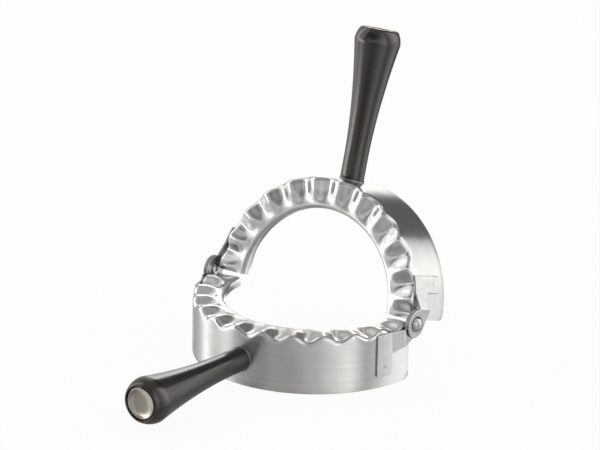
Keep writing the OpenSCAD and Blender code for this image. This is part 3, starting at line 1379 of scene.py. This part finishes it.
@dataclass(frozen=True)
class CameraPlace:
    """Where the camera stands, about the middle of the hinge; distances are in millimetres.

    nearest and farthest, which bound what it sees, are in metres.
    """

    bearing_deg: float = 35.764
    height_deg: float = 19.474
    distance: float = 1620.554
    focal_px: float = 3224.631
    frame_px: float = 600.0
    sensor: float = 36.0
    aside: float = -6.745
    lift: float = 35.263
    roll_deg: float = 1.145
    aim_z: float = PIVOT_Z
    nearest: float = 0.1
    farthest: float = 20.0

    def build(self) -> Piece:
        """Sets the camera up.

        Returns:
            The camera, which is also the scene's camera.
        """
        angles = (self.bearing_deg, self.height_deg, self.roll_deg)
        turn, rise, roll = (math.radians(angle) for angle in angles)
        right = Vector((math.cos(turn), math.sin(turn), 0))
        back = Vector(
            (math.sin(turn) * math.cos(rise), -math.cos(turn) * math.cos(rise), math.sin(rise))
        )
        up = back.cross(right)
        middle = Vector((0, 0, self.aim_z))
        centre = middle + right * self.aside + up * self.lift + back * self.distance
        across = right * math.cos(roll) + up * math.sin(roll)
        tall = up * math.cos(roll) - right * math.sin(roll)
        data = bpy.data.cameras.new("Camera")
        data.sensor_width = self.sensor
        data.lens = self.focal_px / self.frame_px * self.sensor
        data.clip_start, data.clip_end = self.nearest, self.farthest
        camera = placed("Camera", data)
        place = Matrix((across, tall, back)).transposed().to_4x4()
        place.translation = centre * MM
        camera.matrix_world = place
        bpy.context.scene.camera = camera
        return camera


@dataclass(frozen=True)
class SoftPatch:
    """A soft oval in the surround that adds to its level or takes from it; angles in degrees.

    centre and half hold a bearing and a rise each.
    """

    name: str
    centre: Pair
    half: Pair
    level: float


@dataclass(frozen=True)
class Studio:
    """A pale floor and a surround of soft light that the metal mirrors.

    The surround's level goes by bearing, in degrees from +Y towards +X, and turns into an even
    ceiling higher up. What the metal sees of the floor is a pale glow with some of the surround
    mirrored in it, and less of it in an oval beside the lower handle: a painted shadow of that
    handle, which shows only in reflections. The floor's places are in metres.
    """

    floor_r: float = 5.0
    floor_sides: int = 96
    floor_level: float = 0.88
    floor_glow: float = 0.93
    floor_in_metal: float = 0.42
    polish_level: float = 0.95
    polish_roughness: float = 0.2
    floor_mirror: float = 0.6
    # The shade_ numbers place a painted shadow of the lower handle on the floor, which only
    # reflections show.
    shade_mirror: float = 0.1
    shade_at: Pair = (0.018, -0.115)
    shade_half: Pair = (0.032, 0.055)
    shade_edge: Pair = (0.8, 1.25)
    light_tint: Triple = (1.0, 0.99, 0.975)
    darkest: float = 0.14
    ceiling: float = 0.5
    ceiling_edge: Pair = (48.0, 68.0)
    top_level: float = 4.0
    round_levels: tuple[Pair, ...] = (
        *((-180, 0.87), (-162, 0.86), (-154, 0.42), (-146, 0.42), (-139, 0.5), (-129, 1.5)),
        *((-123, 1.5), (-112, 0.95), (-102, 1.45), (-95, 3.2), (-88, 1.8), (-78, 0.83)),
        *((-60, 0.5), (-46, 1.05), (-41, 1.25), (-20, 1.2), (8, 1.55), (24, 1.45), (35, 2.1)),
        *((44, 2.4), (54, 2.05), (66, 1.75), (75, 1.1), (90, 0.65), (99, 1.4), (106, 2.05)),
        *((112, 1.8), (124, 1.5), (140, 1.15), (160, 0.96), (180, 0.87)),
    )
    patch_edge: Pair = (0.5, 1.2)
    patches: tuple[SoftPatch, ...] = (
        SoftPatch("strip light", centre=(-31, 25), half=(13, 13), level=2.7),
        SoftPatch("side light", centre=(-126, 1), half=(26, 8), level=3.6),
        SoftPatch("dark card by the camera", centre=(157, -2), half=(37, 15), level=-0.7),
        SoftPatch("dark card over the camera", centre=(155, 45), half=(68, 21), level=-0.75),
    )
    flag_share: float = 0.075
    flag_left: float = -20.5
    flag_right: float = 13.2
    flag_lean_from: float = 16.0
    flag_lean: float = 0.9
    flag_feather: float = 2.5

    def build(self) -> Piece:
        """Builds the surround and the floor, and sets how colours are shown.

        Returns:
            The floor.
        """
        bpy.context.scene.view_settings.view_transform = "Standard"
        self._surround()
        return self._floor()

    def _round_level(self, graph: Graph, bearing: Socket) -> Socket:
        """Gives the surround's level at a bearing.

        Args:
            graph: The world's graph.
            bearing: The bearing, in degrees.

        Returns:
            The level.
        """
        ramp = graph.node("ValToRGB")
        ramp.color_ramp.interpolation = "EASE"
        stops = ramp.color_ramp.elements
        ready = len(stops)
        for index, (degrees, level) in enumerate(self.round_levels):
            place = (degrees + 180) / 360
            stop = stops[index] if index < ready else stops.new(place)
            stop.position = place
            share = level / self.top_level
            stop.color = (share, share, share, 1)
        graph.feed(ramp.inputs[0], graph.math("MULTIPLY_ADD", bearing, 1 / 360, 0.5))
        return graph.math("MULTIPLY", ramp.outputs["Color"], self.top_level)

    def _patch_level(self, graph: Graph, bearing: Socket, rise: Socket) -> Socket:
        """Gives what the soft patches add in a direction.

        Args:
            graph: The world's graph.
            bearing: The bearing, in degrees.
            rise: The elevation, in degrees.

        Returns:
            The level that they add together.
        """
        total: Socket | float = 0.0
        for patch in self.patches:
            turn = graph.math("SUBTRACT", bearing, patch.centre[0])
            turn = graph.math("WRAP", turn, 180.0, -180.0)
            climb = graph.math("SUBTRACT", rise, patch.centre[1])
            aside = graph.math("DIVIDE", turn, patch.half[0])
            over = graph.math("DIVIDE", climb, patch.half[1])
            away = graph.vector("LENGTH", graph.gather(aside, over, 0.0))
            share = graph.ease(away, *self.patch_edge, first=1.0, last=0.0)
            share.node.label = patch.name
            total = graph.math("MULTIPLY_ADD", share, patch.level, total)
        return total

    def _flag_share(self, graph: Graph, bearing: Socket, rise: Socket) -> Socket:
        """Gives the share of light that a dark card behind the press lets through.

        Args:
            graph: The world's graph.
            bearing: The bearing, in degrees.
            rise: The elevation, in degrees.

        Returns:
            The share, which is small on the card, whose right edge leans out higher up.
        """
        feather = self.flag_feather
        leaning = graph.math("MAXIMUM", rise, self.flag_lean_from)
        over = graph.math("SUBTRACT", leaning, self.flag_lean_from)
        right = graph.math("MULTIPLY_ADD", over, self.flag_lean, self.flag_right)
        inside = graph.ease(bearing, self.flag_left - feather, self.flag_left + feather)
        past = graph.math("SUBTRACT", bearing, right)
        outside = graph.ease(past, -feather, feather, first=1.0, last=0.0)
        card = graph.math("MULTIPLY", inside, outside)
        return graph.math("MULTIPLY_ADD", card, self.flag_share - 1, 1.0)

    def _surround(self) -> None:
        """Builds the world: white to the camera, and soft light to everything else."""
        world = bpy.data.worlds.new("Studio surround")
        bpy.context.scene.world = world
        graph = emptied(world)
        direction = graph.vector("NORMALIZE", graph.node("TexCoord").outputs["Generated"])
        x, y, z = graph.split(direction)
        bearing = graph.math("DEGREES", graph.math("ARCTAN2", x, y))
        rise = graph.math("DEGREES", graph.math("ARCSINE", z))
        level = self._round_level(graph, bearing)
        level = graph.math("MULTIPLY", level, self._flag_share(graph, bearing, rise))
        level = graph.math("ADD", level, self._patch_level(graph, bearing, rise))
        level = graph.math("MAXIMUM", level, self.darkest)
        high = graph.ease(rise, *self.ceiling_edge)
        to_ceiling = graph.math("SUBTRACT", self.ceiling, level)
        level = graph.math("MULTIPLY_ADD", high, to_ceiling, level)
        lit, seen = graph.node("Background"), graph.node("Background")
        graph.feed_named(lit, Color=graph.scaled(level, self.light_tint))
        graph.feed_named(seen, Color=grey(1.0))
        by_camera = graph.node("LightPath").outputs["Is Camera Ray"]
        shown = graph.mix_shaders(by_camera, lit.outputs[0], seen.outputs[0])
        graph.feed_named(graph.node("OutputWorld"), Surface=shown)

    def _floor(self) -> Piece:
        """Builds the floor, which is white but keeps the press's shadow.

        Returns:
            The floor.
        """
        angle = np.linspace(0, 2 * math.pi, self.floor_sides, endpoint=False)
        ring = np.column_stack([np.cos(angle), np.sin(angle), np.zeros_like(angle)])
        floor = make_piece("floor", ring * self.floor_r / MM, [tuple(range(len(ring)))])
        material = bpy.data.materials.new("White sweep")
        graph = emptied(material)
        matte, glow, pale = (graph.node(kind) for kind in ("BsdfDiffuse", "Emission", "Emission"))
        graph.feed_named(matte, Color=grey(self.floor_level))
        graph.feed_named(pale, Strength=self.floor_in_metal)
        polish = graph.node("BsdfAnisotropic")
        graph.feed_named(polish, Color=grey(self.polish_level), Roughness=self.polish_roughness)
        white = graph.mix_shaders(self.floor_glow, matte.outputs[0], glow.outputs[0])
        share = self._mirror_share(graph)
        mirrored = graph.mix_shaders(share, pale.outputs[0], polish.outputs[0])
        path = graph.node("LightPath").outputs
        hidden = graph.mix_shaders(path["Is Glossy Ray"], matte.outputs[0], mirrored)
        shown = graph.math("MAXIMUM", path["Is Camera Ray"], path["Is Transmission Ray"])
        surface = graph.mix_shaders(shown, hidden, white)
        graph.feed_named(graph.node("OutputMaterial"), Surface=surface)
        dress(floor, material)
        return floor

    def _mirror_share(self, graph: Graph) -> Socket:
        """Gives how much the floor mirrors, less in the oval of painted shadow by the lower handle.

        Args:
            graph: The floor's graph.

        Returns:
            The share of the polish.
        """
        x, y, _ = graph.split(graph.node("TexCoord").outputs["Object"])
        aside, along = (
            graph.math("MULTIPLY_ADD", way, 1 / half, -middle / half)
            for way, middle, half in zip((x, y), self.shade_at, self.shade_half)
        )
        away = graph.vector("LENGTH", graph.gather(aside, along, 0.0))
        return graph.ease(away, *self.shade_edge, self.shade_mirror, self.floor_mirror)


# ---------------------------------------------------------------- the whole press


def ease_edges(
    node: Piece, width: float = 0.1, join: float = 0.002, sharp_deg: float = 50.0
) -> None:
    """Rounds a CAD node's cut edges with modifiers, which leave its mesh as it is.

    Args:
        node: The CAD node.
        width: How wide the rounding is, in millimetres.
        join: How near two points are joined, in millimetres.
        sharp_deg: The angle above which an edge is rounded.
    """
    weld = node.modifiers.new("Join split edges", "WELD")
    weld.merge_threshold = join * MM
    rounding = node.modifiers.new("Rounded edges", "BEVEL")
    rounding.width = width * MM
    rounding.segments = 2
    rounding.limit_method = "ANGLE"
    rounding.angle_limit = math.radians(sharp_deg)


@dataclass(frozen=True)
class Press:
    """The whole press: two halves and the two rivets that join them."""

    ring: HalfRing = HalfRing()
    handle: Handle = Handle()

    def finishes(self) -> dict[str, Material]:
        """Builds every finish, by the record's slot.

        Returns:
            The materials by slot.
        """
        effects = Effects()
        axis = self.handle.axis()
        out = Vector(axis.col[2][:3])
        middle = Vector(axis.translation) + out * self.handle.length
        finishes = {
            "pressed_steel": PressedSteel(),
            "strap_steel": StrapSteel(),
            "rivet_steel": SmallSteel("Rivet steel", level=0.43, roughness=0.15, warmth=0.02),
            "fastener_steel": SmallSteel("Fastener steel", level=0.27, roughness=0.3),
            "satin_cap": SmallSteel(
                "Warm satin cap",
                level=0.45,
                roughness=0.16,
                warmth=0.1,
                lathe=(middle, out),
                wear_share=0.4,
            ),
            "black_grip": BlackGrip(),
        }
        return {slot: finish.build(effects) for slot, finish in finishes.items()}

    def build_half(self, place: HalfPlace, finishes: dict[str, Material]) -> list[Piece]:
        """Builds one half.

        Args:
            place: Where the half stands.
            finishes: The finishes by slot.

        Returns:
            Its new pieces.
        """
        word = place.part.value
        near, far = ("right", "left") if place.part is Part.LOWER else ("left", "right")
        inboard = HingeStrap(EarPlace.INBOARD, Hand.RIGHT)
        outboard = HingeStrap(EarPlace.OUTBOARD, Hand.LEFT)
        made = []
        for shape, name, slot, node in (
            (self.ring, "half_ring", "pressed_steel", "pressing"),
            (self.handle, "handle", "black_grip", "grip"),
            (EndCap(self.handle), "cap_disc", "satin_cap", "end_cap"),
            (inboard, f"{near}_strap", "strap_steel", f"{near}_bracket"),
            (outboard, f"{far}_strap", "strap_steel", f"{far}_bracket"),
        ):
            piece = shape.build(f"{word}_{name}")
            dress(piece, finishes[slot])
            place.set_down(piece, f"{word}_{node}")
            made.append(piece)
        return made

    def build_rivets(self, finishes: dict[str, Material]) -> list[Piece]:
        """Builds the two rivets, which the lower half grips.

        Args:
            finishes: The finishes by slot.

        Returns:
            The rivets.
        """
        made = []
        for rivet in (
            HingeRivet(Hand.RIGHT, tail_x=61.2, head_x=63.8),
            HingeRivet(Hand.LEFT, tail_x=61.1, head_x=63.7),
        ):
            word = rivet.hand.name.lower()
            piece = rivet.build(f"{word}_hinge_rivet")
            dress(piece, finishes["rivet_steel"])
            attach(piece, Part.LOWER.body)
            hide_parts(f"{word}_rivet")
            made.append(piece)
        return made

    def dress_frame(self, finishes: dict[str, Material]) -> list[Piece]:
        """Gives each CAD node that stays in sight its finish.

        Args:
            finishes: The finishes by slot.

        Returns:
            The nodes that were dressed.
        """
        kept = ("seat_ring", "stud", "washer", "nut")
        nodes = [node for name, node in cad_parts.items() if name.endswith(kept)]
        for node in nodes:
            dress(node, finishes["fastener_steel"])
            ease_edges(node)
        return nodes


def main() -> None:
    """Builds the press and its studio, and reports each piece."""
    logging.basicConfig(level=logging.INFO, format="%(name)s: %(message)s")
    press = Press()
    finishes = press.finishes()
    pieces = []
    for part in Part:
        pieces += press.build_half(HalfPlace(part), finishes)
    pieces += press.build_rivets(finishes)
    pieces += press.dress_frame(finishes)
    Studio().build()
    CameraPlace().build()
    for piece in pieces:
        LOG.info("%s: %d faces", piece.name, len(piece.data.polygons))


if __name__ == "__main__":
    main()
